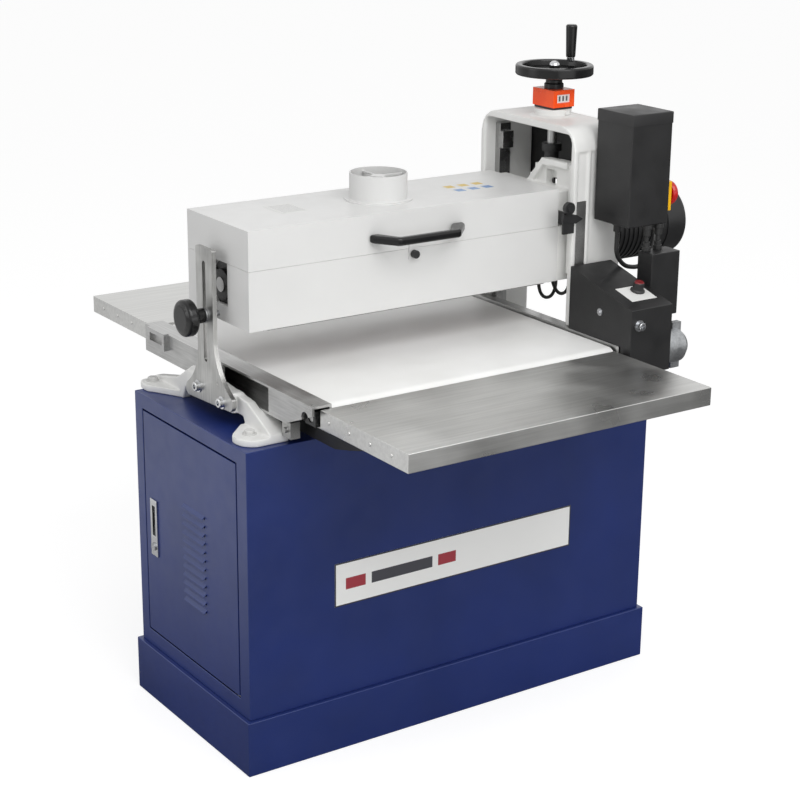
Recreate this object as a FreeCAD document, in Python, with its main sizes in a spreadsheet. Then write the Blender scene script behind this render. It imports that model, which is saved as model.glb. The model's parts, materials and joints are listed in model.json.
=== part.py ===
import FreeCAD, Part
import math
import os
import Sketcher

# Open-ended drum sander on a closed cabinet. Millimetres, +Z up, +X along the
# long front, the operator stands at -Y. The origin is the bottom centre of
# the plinth. Every driving size sits in the spreadsheet "Sizes".

os.makedirs("parts", exist_ok=True)
doc = FreeCAD.newDocument("drum_sander")
V = FreeCAD.Vector
sheet = doc.addObject("Spreadsheet::Sheet", "Sizes")

SIZES = dict(
    # cabinet
    plinth_len=862, plinth_dep=406, plinth_high=99, plinth_wall=3, plinth_lip=26,
    cab_inset=8, cab_top=572, cab_sheet=2.5,
    badge_x0=-257, badge_x1=249, badge_z0=264, badge_z1=343, plate_thick=0.6,
    door_y0=-163, door_y1=168, door_z0=128, door_z1=546,
    door_gap=3, door_deep=18, door_sheet=2, hinge_in=10, hinge_edge=13, hinge_pin=3,
    louvre_y0=-52, louvre_y1=22, louvre_z0=240, louvre_z1=427, louvre_open=5, louvre_out=5,
    latch_y=132, latch_wide=24, latch_z0=282, latch_z1=388, latch_thick=3,
    barrel_z=300, barrel_r=7, cam_len=48,
    # castings on the cabinet top
    base_x0=-378, base_x1=-356, foot_thick=12, foot_in=-336,
    foot_front=-182, foot_rear=215, web_front=628, web_rear=642,
    bolt_r=9, bolt_high=6,
    brk_x0=-386, brk_top=862, brk_foot=594, brk_half=28, slot_half=5.4, slot_z0=668, slot_z1=840,
    # conveyor
    rib_low=596, beam_z0=582, beam_z1=612, beam_in=95, beam_out=125,
    rail_open0=-150, rail_open1=0, tip_low=646,
    rail_x0=-354, rail_x1=-318, rail_r0=268, rail_r1=290, rail_top=661, rail_wall=4, rail_y=284,
    belt_x0=-313, belt_x1=264, belt_top=656.5, belt_thick=2.5, belt_in=17, roller_y=262,
    roller_shaft=8, bed_wall=3, bed_y=238,
    table_x0=-340, table_x1=258, table_top=655, table_edge=31, table_sheet=2,
    table_near=285, table_far=528,
    # head
    head_x0=-360, head_x1=272, head_y=102, head_z0=738, split_z=838, head_top=905,
    head_wall=5, cover_wall=2.5, cover_gap=0.4, bulk_x0=-338, bulk_thick=6,
    axis_z=796, drum_r=65, wrap_thick=1.3, drum_x0=-310, drum_x1=250, drum_shell=7,
    shaft_r=12.5, motor_shaft=12,
    port_x=-44, port_r=50, port_wall=2, port_top=951.5,
    handle_z0=858, handle_z1=872,
    press_y=83, press_r=11, press_drop=65, stud_z=748, stud_r=5,
    # column
    col_x0=276, col_x1=388, col_y=137, col_top=1016, col_wall=12, col_cap=13, col_round=42,
    col_base=612, way_x0=300, way_x1=325, way_thick=14, way_z0=630, way_z1=988,
    screw_x=334, screw_r=9, screw_low=875, nut_z0=928, nut_z1=966,
    carriage_z0=752, carriage_z1=948,
    motor_x0=396, motor_x1=618, motor_r=67,
    wheel_r=70, wheel_top=1108, grip_arm=60, grip_turn=22.7, grip_top=1172,
    # electrics
    ctl_x0=268, ctl_x1=361, ctl_y0=-314, ctl_y1=-146, ctl_front=731, ctl_back=775, ctl_low=613,
    label_low=28, label_high=76, knob_at=58,
    sw_x0=320, sw_x1=411, sw_y0=-235, sw_y1=-142, sw_z0=853, sw_z1=1049,
    post_x1=426, post_y0=-255, post_y1=-217, post_z0=691, post_z1=806,
    gear_r=33, gear_x1=352, gmotor_r=31, gmotor_x1=430,
    lead_x=350, lead_y=-172, loom_x=398, loom_step=26, loom_y=-226,
    estop_y=-203, estop_z=899,
    # fits
    run=0.35, journal=0.05,
)
for row, (alias, value) in enumerate(SIZES.items(), 1):
    sheet.set("A%d" % row, alias)
    sheet.set("B%d" % row, str(value))
    sheet.setAlias("B%d" % row, alias)
doc.recompute()


class Size:
    """A number that remembers the spreadsheet formula it comes from."""

    def __init__(self, value, text=None):
        self.value, self.text = float(value), text

    def formula(self):
        return self.text if self.text else repr(self.value)

    def mix(self, other, value, sign, swap=False):
        other = size(other)
        a, b = (other, self) if swap else (self, other)
        if not (a.text or b.text):
            return Size(value)
        return Size(value, "(%s %s %s)" % (a.formula(), sign, b.formula()))

    def __add__(self, o):
        return self.mix(o, self.value + float(o), "+")

    def __radd__(self, o):
        return self.mix(o, float(o) + self.value, "+", True)

    def __sub__(self, o):
        return self.mix(o, self.value - float(o), "-")

    def __rsub__(self, o):
        return self.mix(o, float(o) - self.value, "-", True)

    def __mul__(self, o):
        return self.mix(o, self.value * float(o), "*")

    def __rmul__(self, o):
        return self.mix(o, float(o) * self.value, "*", True)

    def __truediv__(self, o):
        return self.mix(o, self.value / float(o), "/")

    def __neg__(self):
        return self.mix(-1, -self.value, "*")

    def __float__(self):
        return self.value


def size(x):
    return x if isinstance(x, Size) else Size(x)


class Named:
    pass


S = Named()
for alias, value in SIZES.items():
    setattr(S, alias, Size(value, "Sizes." + alias))


def bind(obj, prop, x):
    x = size(x)
    if x.text:
        obj.setExpression(prop, x.text)
    elif "." not in prop and "[" not in prop:
        setattr(obj, prop, x.value)


TURN = {"x": (V(0, 1, 0), 90), "y": (V(1, 0, 0), -90), "z": (V(0, 0, 1), 0)}


def place(obj, x, y, z, turn=(V(0, 0, 1), 0)):
    obj.Placement = FreeCAD.Placement(V(float(x), float(y), float(z)), FreeCAD.Rotation(*turn))
    for k, v in zip("xyz", (x, y, z)):
        bind(obj, "Placement.Base." + k, v)
    return obj


def box(x0, x1, y0, y1, z0, z1):
    o = doc.addObject("Part::Box", "Block")
    for prop, a, b in (("Length", x0, x1), ("Width", y0, y1), ("Height", z0, z1)):
        bind(o, prop, size(b) - a)
    return place(o, x0, y0, z0)


def spot(axis, a, u, v):
    return {"x": (a, u, v), "y": (u, a, v), "z": (u, v, a)}[axis]


def rod(axis, r, a0, a1, u, v):
    """Round bar along an axis; u and v are the other two coordinates in X, Y, Z order."""
    o = doc.addObject("Part::Cylinder", "Rod")
    bind(o, "Radius", r)
    bind(o, "Height", size(a1) - a0)
    return place(o, *spot(axis, a0, u, v), turn=TURN[axis])


def cone(axis, r0, r1, a0, a1, u, v):
    o = doc.addObject("Part::Cone", "Cone")
    bind(o, "Radius1", r0)
    bind(o, "Radius2", r1)
    bind(o, "Height", size(a1) - a0)
    return place(o, *spot(axis, a0, u, v), turn=TURN[axis])


def fuse(*shapes):
    if len(shapes) == 1:
        return shapes[0]
    o = doc.addObject("Part::MultiFuse", "Fuse")
    o.Shapes = list(shapes)
    o.Refine = True
    return o


def cut(base, *tools):
    o = doc.addObject("Part::Cut", "Cut")
    o.Base = base
    o.Tool = fuse(*tools)
    o.Refine = True
    return o


def group(*shapes):
    o = doc.addObject("Part::Compound", "Group")
    o.Links = list(shapes)
    return o


def plane_of(body, role):
    return [f for f in body.Origin.OriginFeatures if f.Role == role][0]


def draw(sketch, points):
    """One closed loop. A point is (u, v), or (u, v, mid_u, mid_v) when an arc leads to it."""
    ends = []
    pts = [tuple(size(c) for c in p) for p in points]
    for k, p in enumerate(pts):
        a = V(float(pts[k - 1][0]), float(pts[k - 1][1]), 0)
        b = V(float(p[0]), float(p[1]), 0)
        if len(p) == 4:
            mid = V(float(p[2]), float(p[3]), 0)
            flip = (mid - a).cross(b - mid).z < 0
            g = sketch.addGeometry(Part.Arc(*((b, mid, a) if flip else (a, mid, b))), False)
            ends.append((g, 2, 1) if flip else (g, 1, 2))
        else:
            g = sketch.addGeometry(Part.LineSegment(a, b), False)
            ends.append((g, 1, 2))
    for k, (g, start, end) in enumerate(ends):
        g0, s0, e0 = ends[k - 1]
        sketch.addConstraint(Sketcher.Constraint("Coincident", g0, e0, g, start))
    for (g, start, end), p in zip(ends, pts):
        for kind, x in (("DistanceX", p[0]), ("DistanceY", p[1])):
            if abs(float(x)) < 1e-9 and not x.text:
                other = -2 if kind == "DistanceX" else -1
                sketch.addConstraint(Sketcher.Constraint("PointOnObject", g, end, other))
                continue
            c = sketch.addConstraint(Sketcher.Constraint(kind, -1, 1, g, end, float(x)))
            if x.text:
                sketch.setExpression("Constraints[%d]" % c, x.text)
        if len(p) == 4:
            arc = sketch.Geometry[g]
            if arc.StartPoint.distanceToPoint(arc.EndPoint) < 1.99 * arc.Radius:
                sketch.addConstraint(Sketcher.Constraint("Radius", g, arc.Radius))
            else:
                upright = abs(arc.StartPoint.x - arc.EndPoint.x) < 1e-6
                kind, x = ("DistanceX", p[0]) if upright else ("DistanceY", p[1])
                c = sketch.addConstraint(Sketcher.Constraint(kind, -1, 1, g, 3, float(x)))
                bind(sketch, "Constraints[%d]" % c, x)


def sketch_on(body, role, offset, loops):
    sk = body.newObject("Sketcher::SketchObject", "Profile")
    sk.AttachmentSupport = [(plane_of(body, role), "")]
    sk.MapMode = "FlatFace"
    sk.AttachmentOffset = FreeCAD.Placement(V(0, 0, float(offset)), FreeCAD.Rotation())
    bind(sk, "AttachmentOffset.Base.z", offset)
    for loop in loops:
        draw(sk, loop)
    sk.Visibility = False
    return sk


ROLE = {"x": "YZ_Plane", "y": "XZ_Plane", "z": "XY_Plane"}


def prism(axis, a0, a1, *loops):
    """A profile padded from a0 to a1 along an axis; its points are in X, Y, Z order."""
    body = doc.addObject("PartDesign::Body", "Body")
    start = -size(a1) if axis == "y" else size(a0)
    sk = sketch_on(body, ROLE[axis], start, loops)
    pad = body.newObject("PartDesign::Pad", "Pad")
    pad.Profile = sk
    bind(pad, "Length", size(a1) - a0)
    return body


def lathe(axis, a, u, v, points, turn=None):
    """A profile of (radius, height) turned about an axis that starts at a."""
    body = doc.addObject("PartDesign::Body", "Body")
    sk = sketch_on(body, "XZ_Plane", 0, [points])
    rev = body.newObject("PartDesign::Revolution", "Revolution")
    rev.Profile = sk
    rev.ReferenceAxis = (sk, ["V_Axis"])
    rev.Angle = 360
    place(body, *spot(axis, a, u, v), turn=turn or TURN[axis])
    return body


def route(r, points):
    """A round cable: straight runs joined by tangent arcs through the given corners."""
    pts = [V(*[float(c) for c in p]) for p in points]
    edges, here = [], pts[0]
    for k in range(1, len(pts) - 1):
        d0, d1 = pts[k] - pts[k - 1], pts[k + 1] - pts[k]
        reach = 0.45 * min(d0.Length, d1.Length)
        half = d0.getAngle(d1) / 2
        bend = reach / math.tan(half)
        d0.normalize()
        d1.normalize()
        a, b = pts[k] - d0 * reach, pts[k] + d1 * reach
        way = (d1 - d0).normalize()
        mid = pts[k] + way * (bend / math.cos(half) - bend)
        edges.append(Part.makeLine(here, a))
        edges.append(Part.Arc(a, mid, b).toShape())
        here = b
    edges.append(Part.makeLine(here, pts[-1]))
    wire = Part.Wire(edges)
    ring = Part.Wire([Part.makeCircle(float(r), pts[0], pts[1] - pts[0])])
    o = doc.addObject("Part::Feature", "Cable")
    o.Shape = wire.makePipeShell([ring], True, False)
    return o


NODES = []


def node(label, obj):
    obj.Label = label
    NODES.append(obj)
    return obj


# ------------------------------------------------------------------ cabinet
# Folded steel plinth: floor, four walls and an inward lip that the cabinet stands on.
hx, hy = S.plinth_len / 2, S.plinth_dep / 2
pw, lip = S.plinth_wall, S.plinth_lip
node("plinth", cut(
    box(-hx, hx, -hy, hy, 0, S.plinth_high),
    box(-hx + pw, hx - pw, -hy + pw, hy - pw, pw, S.plinth_high - pw),
    box(-hx + lip, hx - lip, -hy + lip, hy - lip, pw, S.plinth_high + 1)))

# Welded cabinet shell with the door opening in its left end.
cx, cy, cs = hx - S.cab_inset, hy - S.cab_inset, S.cab_sheet
node("cabinet_shell", cut(
    box(-cx, cx, -cy, cy, S.plinth_high, S.cab_top),
    box(-cx + cs, cx - cs, -cy + cs, cy - cs, S.plinth_high + cs, S.cab_top - cs),
    box(-cx - 1, -cx + cs + 1, S.door_y0, S.door_y1, S.door_z0, S.door_z1)))

# Door: a folded tray with a stack of pressed louvres.
dx0, dx1 = -cx, -cx + S.door_deep
dy0, dy1 = S.door_y0 + S.door_gap, S.door_y1 - S.door_gap
dz0, dz1 = S.door_z0 + S.door_gap, S.door_z1 - S.door_gap
ds = S.door_sheet
LOUVRES = 12
pitch = (S.louvre_z1 - S.louvre_z0) / LOUVRES
hing_x, hing_y = -cx + S.hinge_in, S.door_y0 + S.hinge_edge
slots, hoods = [], []
for k in range(LOUVRES):
    z = S.louvre_z0 + pitch * k
    slots.append(box(dx0 - 1, dx0 + ds + 0.5, S.louvre_y0, S.louvre_y1, z, z + S.louvre_open))
    hoods.append(prism("y", S.louvre_y0, S.louvre_y1, [
        (dx0 + ds, z + S.louvre_open), (dx0 + ds, z + S.louvre_open + 3),
        (dx0 - S.louvre_out, z + 1), (dx0 - S.louvre_out, z - 1.5)]))
tray = cut(
    box(dx0, dx1, dy0, dy1, dz0, dz1),
    box(dx0 + ds, dx1 + 1, dy0 + ds, dy1 - ds, dz0 + ds, dz1 - ds),
    box(dx0 - 1, dx0 + ds + 0.5, S.latch_y - 9, S.latch_y + 9, S.barrel_z - 10, S.latch_z1 - 7),
    rod("z", S.hinge_pin + S.journal, dz0 - 1, dz1 + 1, hing_x, hing_y), *slots)
node("cabinet_door", fuse(tray, *hoods))

# Hinge pins on welded ears above and below the opening, and the latch strike.
ear_x1 = hing_x + 14
node("door_hardware", group(
    fuse(box(-cx + cs, ear_x1, S.door_y0 - 2, hing_y + 12, S.door_z1, S.door_z1 + 3),
         rod("z", S.hinge_pin, dz1 - 9, S.door_z1 + 1, hing_x, hing_y)),
    fuse(box(-cx + cs, ear_x1, S.door_y0 - 2, hing_y + 12, S.door_z0 - 3, S.door_z0),
         rod("z", S.hinge_pin, S.door_z0 - 1, dz0 + 9, hing_x, hing_y),
         rod("z", S.hinge_pin * 2, S.door_z0 - 1, dz0 - S.run, hing_x, hing_y)),
    box(-cx + cs, dx1 - 0.6, S.door_y1 + 2, S.door_y1 + 18, S.barrel_z - 20, S.barrel_z + 20)))

# Flush latch: chrome plate with a pull recess, and the key barrel with its cam.
lx = -cx - S.latch_thick
node("latch_plate", cut(
    fuse(box(lx, -cx, S.latch_y - S.latch_wide / 2, S.latch_y + S.latch_wide / 2,
             S.latch_z0, S.latch_z1),
         box(-cx, -cx + 14, S.latch_y - 7.5, S.latch_y + 7.5, S.barrel_z + 18, S.latch_z1 - 10)),
    box(lx - 1, -cx + 12, S.latch_y - 5.5, S.latch_y + 5.5, S.barrel_z + 20, S.latch_z1 - 12),
    rod("x", S.barrel_r + S.journal, lx - 1, -cx + 1, S.latch_y, S.barrel_z)))
node("latch_barrel", fuse(
    rod("x", S.barrel_r, lx - 3, dx1 + 2, S.latch_y, S.barrel_z),
    box(dx1 + S.run, dx1 + 3.4, S.latch_y - 6, S.latch_y + 6, S.barrel_z - 6,
        S.barrel_z + S.cam_len)))

# ------------------------------------------------- castings on the cabinet
# Left base casting: a low bar with a webbed foot at each end.
bx0, bx1, top = S.base_x0, S.base_x1, S.cab_top
ft = top + S.foot_thick
ff, fr = S.foot_front, S.foot_rear
node("left_base", cut(fuse(
    box(bx0, bx1, -75, 85, S.rib_low, S.web_front + 2),
    prism("x", bx0 + 8, S.foot_in, [(-58, S.rib_low), (-58, S.web_front), (-108, S.web_front - 5),
                                    (ff, ft + 4), (ff, top), (-106, top), (-94, S.rib_low)]),
    prism("x", bx0 + 4, bx1, [(-66, S.rib_low), (-66, S.web_front), (62, S.web_rear),
                              (74, S.web_rear - 2), (128, top + 34), (fr, ft + 2), (fr, top),
                              (110, top), (98, S.rib_low)]),
    prism("z", top, ft, [(bx0 - 30, -128), (bx0 - 38, -148, bx0 - 37, -138),
                         (bx0 - 14, ff, bx0 - 32, ff + 12), (S.foot_in, ff), (S.foot_in, -96),
                         (bx0 + 2, -96)]),
    prism("z", top, ft, [(bx0 - 8, fr - 4), (bx0 - 30, fr - 22, bx0 - 26, fr - 8),
                         (bx0 - 24, fr - 50, bx0 - 31, fr - 36), (bx0 + 2, 118), (bx1, 118),
                         (bx1, fr)])),
    box(S.rail_x0, S.foot_in + 1, ff - 1, 0, S.beam_z1, S.web_front + 1)))

# Outboard bracket: a slotted steel plate with a flared foot.
h, zf, g = S.brk_half, S.brk_foot, S.slot_half
node("outboard_bracket", cut(
    prism("x", S.brk_x0, bx0,
          [(-h, 705, -h - 14, 664), (-h, S.brk_top - 3), (3 - h, S.brk_top, 1 - h, S.brk_top - 1),
           (h - 4, S.brk_top), (h - 1, S.brk_top - 3, h - 2, S.brk_top - 1), (h - 1, 705),
           (h + 40, zf + 22, h + 8, 650), (h + 44, zf + 6, h + 44, zf + 13), (h + 36, zf),
           (-h - 52, zf + 8), (-h - 58, zf + 30, -h - 60, zf + 18)],
          [(-g, S.slot_z1 - g, 0, S.slot_z1), (-g, S.slot_z0 + g), (g, S.slot_z0 + g, 0, S.slot_z0),
           (g, S.slot_z1 - g)]),
    rod("x", 3, S.brk_x0 - 1, S.brk_x0 + 0.5, -40, 640)))

# Column: a cast arch bolted down at the right end.
cw, ct, cr = S.col_wall, S.col_top, S.col_round
inner = S.col_y - cw
cap = ct - S.col_cap
arch = prism("x", S.col_x0, S.col_x1,
             [(-S.col_y, top), (-S.col_y, ct - cr),
              (-S.col_y + cr, ct, -S.col_y + cr * 0.293, ct - cr * 0.293), (S.col_y - cr, ct),
              (S.col_y, ct - cr, S.col_y - cr * 0.293, ct - cr * 0.293), (S.col_y, top)],
             [(-inner, S.col_base), (-inner, cap - 14),
              (-inner + 14, cap, -inner + 14 * 0.293, cap - 14 * 0.293), (inner - 14, cap),
              (inner, cap - 14, inner - 14 * 0.293, cap - 14 * 0.293), (inner, S.col_base)])
node("column", cut(
    fuse(arch, box(S.col_x0 + 18, S.col_x1 + 20, -S.col_y - 28, S.col_y + 28, top, ft),
         rod("z", 38, ct - 2, ct + 3, S.screw_x, 0)),
    box(S.col_x0 - 1, S.rail_r1 + 0.5, -S.col_y - 1, S.col_y + 1, S.beam_z1, S.rail_top + 0.5),
    box(S.col_x0 + 8, S.col_x0 + 32, -S.col_y - 1, -S.col_y + 3, S.ctl_back - 70, ct - cr),
    box(S.col_x0 + 37, S.col_x1 - 5, -S.col_y - 1, -S.col_y + 3, S.ctl_back - 70, ct - cr),
    box(S.col_x0 + 8, S.col_x1 - 8, S.col_y - 3, S.col_y + 1, top + 60, ct - cr),
    rod("z", S.screw_r + 1, cap - 1, ct + 4, S.screw_x, 0)))

# Ground guide ways screwed to the inner faces of the column.
node("guide_ways", group(*[
    box(S.way_x0, S.way_x1, y0, y0 + S.way_thick, S.way_z0, S.way_z1)
    for y0 in (-inner, inner - S.way_thick)], box(
        S.way_x0, S.way_x1, inner - S.way_thick - 9, inner - S.way_thick, S.way_z1 - 46, S.way_z1 - 14)))

# Black plate that closes the upper rear of the arch, with its four screws.
node("column_back_plate", fuse(
    box(S.col_x1, S.col_x1 + 4, -inner - 9, inner + 9, S.axis_z + 89, cap - 5),
    *[rod("x", 5, S.col_x1 + 3, S.col_x1 + 7, y, z)
      for y in (-inner - 3, inner + 3) for z in (S.axis_z + 99, cap - 17)]))

# ----------------------------------------------------------------- conveyor
# Two cross beams between the castings, and four arms that carry the tables.
bo, bi, bz0, bz1 = S.beam_out, S.beam_in, S.beam_z0, S.beam_z1
tu = S.table_top - S.table_edge
arms = []
for s in (-1, 1):
    for x in (S.table_x0 + 27, S.table_x1 - 52):
        n, f = s * S.table_near, s * S.table_far
        arms.append(prism("x", x, x + 25, [
            (s * bo, bz0 + 3), (s * bo, bz1 - 1), (n, bz1 - 1), (n, tu),
            (n + s * (S.table_sheet + 1), tu), (n + s * (S.table_sheet + 1), S.table_top - 2),
            (f - s * 60, S.table_top - 2), (f - s * 60, S.table_top - 20), (n + s * 45, bz0 + 14),
            (n, bz0 + 3)]))
node("bed_supports", group(
    box(S.foot_in, S.col_x0, -bo, -bi, bz0, bz1), box(bx1, S.col_x0, bi, bo, bz0, bz1), *arms))

# Side rails: channels open outwards, on the beams.
rw, ry, rt = S.rail_wall, S.rail_y, S.rail_top
az = S.belt_top - S.belt_thick - S.belt_in


def ends(side):
    return [rod("x", 10.5, S.rail_x0 - 1 if side < 0 else S.rail_r0 - 1,
                S.rail_x1 + 1 if side < 0 else S.rail_r1 + 1, s * S.roller_y, az) for s in (-1, 1)]


left = cut(fuse(box(S.rail_x0, S.rail_x1, -ry, ry, bz1, rt),
                box(S.rail_x0 - 9, S.rail_x0 + 1, 196, 258, bz1 + 20, rt + 2)),
           box(S.rail_x0 + 4, S.rail_x1 - rw, -ry - 1, ry + 1, bz1 + rw, rt - rw),
           box(S.rail_x0 - 1, S.rail_x0 + 5, S.rail_open0, S.rail_open1, bz1 + rw, rt - rw),
           box(S.rail_x0 - 10, S.rail_x0 - 2, 204, 250, bz1 + 29, bz1 + 43),
           prism("x", S.rail_x0 - 1, S.rail_x1 - rw, [(-ry - 1, bz1 - 1), (-ry - 1, S.tip_low),
                                                      (-ry + 84, bz1 - 1)]), *ends(-1))
right = cut(box(S.rail_r0, S.rail_r1, -ry, ry, bz1, rt),
            box(S.rail_r0 + rw, S.rail_r1 + 1, -ry - 1, ry + 1, bz1 + rw, rt - rw), *ends(1))
node("side_rails", group(left, right, fuse(
    box(S.rail_x0 + 6, S.rail_x0 + 24, ff - 26, ff, ft, bz1),
    rod("x", 5, S.rail_x0 + 1, S.rail_x0 + 7, ff - 13, ft + 14))))

# Bearing blocks of the two rollers, held in the channels.
blocks = []
for s in (-1, 1):
    y = s * S.roller_y
    for x0, x1 in ((S.rail_x0 + 10, S.rail_x1 - rw), (S.rail_r0 + rw, S.rail_r1 - 2)):
        blocks.append(cut(box(x0, x1, y - 15, y + 15, az - 13, az + 13),
                          rod("x", S.roller_shaft + S.journal, x0 - 1, x1 + 1, y, az)))
node("roller_bearings", group(*blocks))

# Slider bed: a folded pan between the belt runs, fixed to both rails.
bt = S.belt_top - S.belt_thick
node("conveyor_bed", cut(
    box(S.rail_x1, S.rail_r0, -S.bed_y, S.bed_y, az - 3, bt),
    box(S.rail_x1 + 3, S.rail_r0 - 3, -S.bed_y + 3, S.bed_y - 3, az - 4, bt - S.bed_wall)))


# Endless belt round both rollers.
def loop(r):
    y = S.roller_y
    return [(-y, az + r), (-y, az - r, -y - r, az), (y, az - r), (y, az + r, y + r, az)]


node("conveyor_belt", prism("x", S.belt_x0, S.belt_x1, loop(S.belt_in + S.belt_thick),
                            loop(S.belt_in)))
for label, s, reach in (("drive_roller", -1, S.rail_r1 + 32), ("idler_roller", 1, S.rail_r1 - 4)):
    y = s * S.roller_y
    node(label, fuse(rod("x", S.belt_in - S.run, S.belt_x0 + 1, S.belt_x1 - 1, y, az),
                     rod("x", S.roller_shaft, S.rail_x0 + 12, reach, y, az)))

# Infeed and outfeed tables: folded steel trays with four rivets on the left edge.
for label, s in (("infeed_table", -1), ("outfeed_table", 1)):
    y0, y1 = (-S.table_far, -S.table_near) if s < 0 else (S.table_near, S.table_far)
    t = S.table_sheet
    rivets = [rod("x", 3.2, S.table_x0 - 1.2, S.table_x0 + 1, s * (S.table_near + 25 + 58 * k), tu + 16)
              for k in range(4)]
    node(label, fuse(cut(box(S.table_x0, S.table_x1, y0, y1, tu, S.table_top),
                         box(S.table_x0 + t, S.table_x1 - t, y0 + t, y1 - t, tu - 1,
                             S.table_top - t)), *rivets))

# ----------------------------------------------------------------- the head
hw, hd = S.head_wall, S.head_y
hx0, hx1, hz0, hz1, ax = S.head_x0, S.head_x1, S.head_z0, S.split_z, S.axis_z
bk0, bk1 = S.bulk_x0, S.bulk_x0 + S.bulk_thick
node("head_housing", cut(
    fuse(cut(box(hx0, hx1, -hd, hd, hz0, hz1),
             box(hx0 + hw, hx1 - hw, -hd + hw, hd - hw, hz0 - 1, hz1 + 1)),
         box(bk0, bk1, -hd + 2, hd - 2, hz0 + 6, hz1 - 3),
         box(hx0 + 2, hx0 + 13, -13, 13, hz0 + 1, hz0 + 25)),
    box(hx0 - 1, hx0 + hw + 1, -32, 42, hz0 + 27, hz1 + 1),
    rod("x", 20, bk0 - 1, bk1 + 1, 0, ax), rod("x", 30, hx1 - hw - 1, hx1 + 1, 0, ax),
    rod("x", S.stud_r, hx0 - 1, hx0 + 14, 0, S.stud_z),
    rod("y", 3 + S.journal, -hd - 1, -hd + hw + 1, S.port_x + 3, hz1 - 9)))

# Flange bearings at both ends of the drum.
journal = S.shaft_r + S.journal
node("drum_bearings", group(
    cut(fuse(rod("x", 40, bk0 - 8, bk0, 0, ax), rod("x", 26, bk0 - 16, bk0 - 7, 0, ax),
             *[rod("x", 6, bk0 - 12, bk0 - 7, y, ax + z) for y, z in
               ((-28, -17), (28, -17), (-28, 17), (28, 17))]),
        rod("x", journal, bk0 - 18, bk0 + 1, 0, ax)),
    cut(rod("x", 36, hx1 - hw - 12, hx1 - hw, 0, ax),
        rod("x", journal, hx1 - hw - 13, hx1 - hw + 1, 0, ax))))

# Drum, abrasive wrap, shaft, coupling and the rotor it shares an axis with.
dr, d0, d1 = S.drum_r - S.wrap_thick, S.drum_x0, S.drum_x1
node("drum", cut(
    rod("x", dr, d0, d1, 0, ax), rod("x", dr - S.drum_shell, d0 + 12, d1 - 12, 0, ax),
    rod("x", S.shaft_r, d0 - 1, d1 + 1, 0, ax),
    *[rod("x", 11, a, b, y, ax + z) for a, b in ((d0 - 1, d0 + 13), (d1 - 13, d1 + 1))
      for y, z in ((34, 0), (-34, 0), (0, 34), (0, -34))]))
node("abrasive_wrap", cut(rod("x", S.drum_r, d0, d1, 0, ax), rod("x", dr, d0 - 1, d1 + 1, 0, ax)))
node("drum_shaft", rod("x", S.shaft_r, hx0 + 4, S.col_x0 + 38, 0, ax))
node("shaft_coupling", cut(
    rod("x", 27, S.col_x0 + 24, S.col_x0 + 76, 0, ax),
    rod("x", S.shaft_r, S.col_x0 + 23, S.col_x0 + 38, 0, ax),
    rod("x", S.motor_shaft, S.col_x0 + 38, S.col_x0 + 77, 0, ax)))
node("motor_rotor", fuse(
    rod("x", S.motor_shaft, S.col_x0 + 40, S.motor_x1 - 30, 0, ax),
    rod("x", 45, S.motor_x0 + 34, S.motor_x0 + 150, 0, ax)))
mr, m0, m1 = S.motor_r, S.motor_x0, S.motor_x1
node("motor", cut(
    fuse(rod("x", mr + 6, m0, m0 + 8, 0, ax), rod("x", mr - 2, m0 + 7, m1 - 46, 0, ax),
         *[rod("x", mr, m0 + 22 + 11 * k, m0 + 27 + 11 * k, 0, ax) for k in range(13)],
         lathe("x", m1 - 50, 0, ax, [(0, 0), (mr, 0), (mr, 38), (mr - 12, 50, mr - 3.5, 46.5), (0, 50)]),
         box(m0 + 50, m0 + 128, -32, 32, ax + mr - 8, ax + mr + 28)),
    rod("x", 46.5, m0 + 14, m1 - 18, 0, ax),
    rod("x", S.motor_shaft + S.journal, m0 - 1, m0 + 15, 0, ax)))

# Carriage casting: slides on the ways and carries head, nut and motor.
z0, z1, way = S.carriage_z0, S.carriage_z1, inner - S.way_thick
gap = S.run
shoe = inner - 2
node("carriage", cut(
    fuse(box(hx1, S.col_x0 + 29, -96, 96, hz0 + 4, S.head_top - 6),
         box(hx1, S.col_x0 + 29, -hd, hd, hz0, hz1),
         prism("x", S.col_x0 + 28, S.col_x0 + 42, [
             (-way + 2, z0), (way - 2, z0), (way - 2, 800), (24, z1 - 55), (-19, z1 - 3),
             (-way + 2, z1)]),
         prism("x", S.col_x0 + 18, S.col_x0 + 29, [
             (-94, z1 - 12), (-94, z1), (-20, z1 - 2), (26, z1 - 54), (16, z1 - 62), (-24, z1 - 15)]),
         box(S.col_x0 + 40, S.way_x1 + 22, -way + 1, -88, z0, z1),
         box(S.col_x0 + 40, S.way_x1 + 22, 88, way - 1, z0, 856),
         box(S.way_x0 - 14, S.way_x1 + 22, -shoe, -way + 2, z0, z1),
         box(S.way_x0 - 14, S.way_x1 + 22, way - 2, shoe, z0, 838),
         box(S.col_x0 + 40, S.screw_x + 28, -90, 24, z1 - 40, z1 - 20),
         rod("x", 52, S.col_x0 + 40, m0, 0, ax)),
    box(S.way_x0 - gap, S.way_x1 + gap, -inner - 1, -way + gap, z0 - 1, z1 + 1),
    box(S.way_x0 - gap, S.way_x1 + gap, way - gap, inner + 1, z0 - 1, z1 + 1),
    rod("x", 34, hx1 - 1, m0 + 1, 0, ax),
    box(S.col_x0 - 5, S.col_x0 + 43, -53, -24, 899, 926),
    rod("z", S.screw_r + 2, z1 - 41, z1 - 19, S.screw_x, 0)))
node("lead_nut", cut(
    fuse(rod("z", 13, S.nut_z0, S.nut_z1 - 13, S.screw_x, 0),
         rod("z", 18, S.nut_z1 - 14, S.nut_z1, S.screw_x, 0)),
    rod("z", S.screw_r + S.journal, S.nut_z0 - 1, S.nut_z1 + 1, S.screw_x, 0)))

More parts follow.
